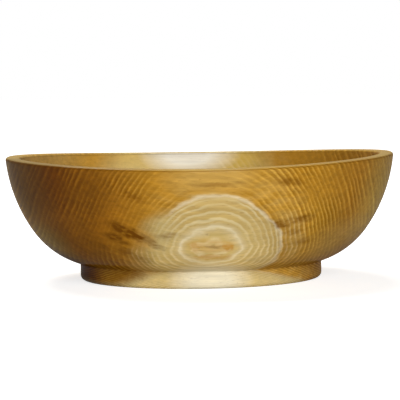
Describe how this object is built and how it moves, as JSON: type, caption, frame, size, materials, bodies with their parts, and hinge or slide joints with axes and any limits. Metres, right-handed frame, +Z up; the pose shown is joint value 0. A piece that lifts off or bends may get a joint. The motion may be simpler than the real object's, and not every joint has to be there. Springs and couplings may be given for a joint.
{
  "type": "wooden bowl",
  "caption": "Round salad bowl turned from one piece of ash, with softly rounded rim and walls and a low plain foot.",
  "frame": {"origin": "middle of the foot's resting face, where the bowl's axis meets the table", "axes": "+Z up the bowl's axis, out of its mouth; +X along the grain of the wood, the way the bowl measures most; -Y is the side that the picture shows"},
  "size_m": [0.25, 0.245, 0.0799],
  "materials": {
    "ash_wood": "satin"
  },
  "bodies": {
    "root": {"bowl": "ash_wood"}
  },
  "joints": []
}
